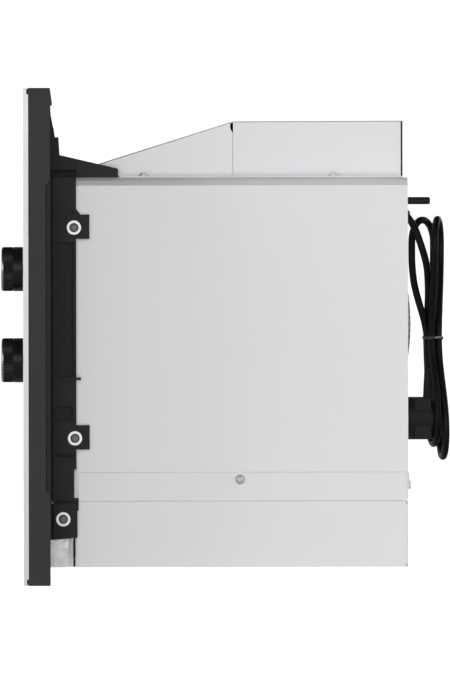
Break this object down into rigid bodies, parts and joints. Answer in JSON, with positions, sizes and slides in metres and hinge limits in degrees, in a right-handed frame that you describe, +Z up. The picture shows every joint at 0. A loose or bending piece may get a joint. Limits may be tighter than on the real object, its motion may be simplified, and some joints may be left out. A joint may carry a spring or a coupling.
{
  "type": "built-in microwave oven",
  "caption": "Built-in microwave oven with a wide trim frame, swinging door, push button, rotary knobs, turntable, duct cover and bundled mains cord.",
  "frame": {"origin": "centre of the base box's underside, where the oven rests on its shelf", "axes": "+X to the right seen from the front, the front faces -Y, +Z up"},
  "size_m": [0.595, 0.3564, 0.388],
  "materials": {
    "frame_black": "fine moulded texture, satin",
    "skin_steel": "brushed along its length, satin",
    "bracket_black": "moulded, slightly glossy",
    "cabinet_grey": "fine-grained pale grey coat on steel sheet",
    "screw_zinc": "bright zinc plate",
    "vent_grey": "perforated sheet, satin",
    "spacer_black": "moulded, satin",
    "galvanised": "galvanised sheet",
    "cavity_grey": "smooth oven enamel, grey",
    "mica": "pressed mica sheet",
    "magnetron_metal": "mill finish",
    "core_brown": "varnished laminations and windings",
    "lamp_glass": "clear bulb",
    "white_plastic": "natural moulded plastic",
    "tray_glass": "clear pressed glass",
    "panel_silver": "metallic silver paint, satin",
    "board_green": "circuit board",
    "spring_steel": "drawn spring wire",
    "knob_black": "moulded, satin",
    "knob_cap": "spun face, satin",
    "door_glass": "dark tinted glass",
    "cord_black": "smooth cable sheath, satin",
    "tie_grey": "black wire tie in a plastic sleeve",
    "plug_black": "moulded, matt",
    "pin_nickel": "nickel-plated brass"
  },
  "bodies": {
    "root": {"trim_frame": "frame_black", "frame_skin": "skin_steel", "side_cheeks": "bracket_black", "cheek_screws": "screw_zinc", "air_deflector": "bracket_black", "outer_cabinet": "cabinet_grey", "case_screws": "screw_zinc", "chassis_base": "cabinet_grey", "rear_panel": "cabinet_grey", "rear_vent": "vent_grey", "spacer_pin": "spacer_black", "stand_box": "cabinet_grey", "stand_brackets": "galvanised", "duct_cover": "cabinet_grey", "front_plate": "galvanised", "door_hinges": "galvanised", "cavity": "cavity_grey", "waveguide": "galvanised", "waveguide_cover": "mica", "magnetron": "magnetron_metal", "transformer": "core_brown", "capacitor": "magnetron_metal", "cavity_lamp": "lamp_glass", "fan_shroud": "bracket_black", "fan_motor": "core_brown", "turntable_motor": "galvanised", "latch_board": "white_plastic", "door_switches": "bracket_black", "control_panel": "panel_silver", "timer_unit": "white_plastic", "power_selector": "white_plastic", "filter_board": "board_green", "button_spring": "spring_steel", "cord_gland": "spacer_black", "cord_lead": "cord_black", "cord_hank": "cord_black", "cord_tie": "tie_grey", "plug": "plug_black", "plug_pins": "pin_nickel"},
    "door": {"door_frame": "bracket_black", "door_skin": "skin_steel", "door_glass": "door_glass", "door_choke": "galvanised", "latch_spring": "spring_steel"},
    "latch": {"latch_hook": "white_plastic"},
    "lever": {"release_lever": "white_plastic"},
    "button": {"push_button": "panel_silver"},
    "timer_knob": {"timer_knob": "knob_black", "timer_cap": "knob_cap", "timer_spindle": "galvanised"},
    "power_knob": {"power_knob": "knob_black", "power_cap": "knob_cap", "power_spindle": "galvanised"},
    "turntable": {"turntable_coupler": "white_plastic", "glass_tray": "tray_glass"},
    "ring": {"roller_ring": "white_plastic"},
    "roller_a": {"roller_1": "white_plastic"},
    "roller_b": {"roller_2": "white_plastic"},
    "roller_c": {"roller_3": "white_plastic"},
    "fan": {"fan_blade": "white_plastic"}
  },
  "joints": [
    {"name": "door_swing", "type": "hinge", "parent": "root", "child": "door", "pos_m": [-0.222, -0.166, 0.179], "axis": [0, 0, -1], "range_deg": [0, 100]},
    {"name": "button_press", "type": "slide", "parent": "root", "child": "button", "axis": [0, 1, 0], "range_m": [0, 0.006], "stiffness_N_per_m": 300, "springref_m": -0.003, "deforming": ["button_spring"]},
    {"name": "latch_lift", "type": "slide", "parent": "door", "child": "latch", "axis": [0, 0, 1], "range_m": [0, 0.004], "deforming": ["latch_spring"]},
    {"name": "lever_turn", "type": "hinge", "parent": "root", "child": "lever", "pos_m": [0.14, -0.124, 0.06], "axis": [-1, 0, 0], "range_deg": [0, 13]},
    {"name": "power_turn", "type": "hinge", "parent": "root", "child": "power_knob", "pos_m": [0.174, -0.18, 0.2346], "axis": [0, 1, 0], "range_deg": [0, 150]},
    {"name": "timer_turn", "type": "hinge", "parent": "root", "child": "timer_knob", "pos_m": [0.174, -0.18, 0.1627], "axis": [0, 1, 0], "range_deg": [0, 300]},
    {"name": "tray_spin", "type": "hinge", "parent": "root", "child": "turntable", "pos_m": [-0.0555, -0.02, 0.0936], "axis": [0, 0, 1], "continuous": true},
    {"name": "ring_spin", "type": "hinge", "parent": "root", "child": "ring", "pos_m": [-0.0555, -0.02, 0.0863], "axis": [0, 0, 1], "continuous": true},
    {"name": "fan_spin", "type": "hinge", "parent": "root", "child": "fan", "pos_m": [0.158, 0.0985, 0.191], "axis": [0, 1, 0], "continuous": true},
    {"name": "roller_spin_a", "type": "hinge", "parent": "ring", "child": "roller_a", "pos_m": [0.0285, 0.0285, 0.0863], "axis": [0.866, 0.5, 0], "continuous": true},
    {"name": "roller_spin_b", "type": "hinge", "parent": "ring", "child": "roller_b", "pos_m": [-0.1395, 0.0285, 0.0863], "axis": [-0.866, 0.5, 0], "continuous": true},
    {"name": "roller_spin_c", "type": "hinge", "parent": "ring", "child": "roller_c", "pos_m": [-0.0555, -0.117, 0.0863], "axis": [0, -1, 0], "continuous": true}
  ],
  "couplings": [
    {"joint": "latch_lift", "follows": "button_press", "ratio": 0.6666},
    {"joint": "lever_turn", "follows": "button_press", "rad_per_m": 37.037},
    {"joint": "ring_spin", "follows": "tray_spin", "ratio": 0.5},
    {"joint": "roller_spin_a", "follows": "tray_spin", "ratio": -6.9286},
    {"joint": "roller_spin_b", "follows": "tray_spin", "ratio": -6.9286},
    {"joint": "roller_spin_c", "follows": "tray_spin", "ratio": -6.9286}
  ]
}
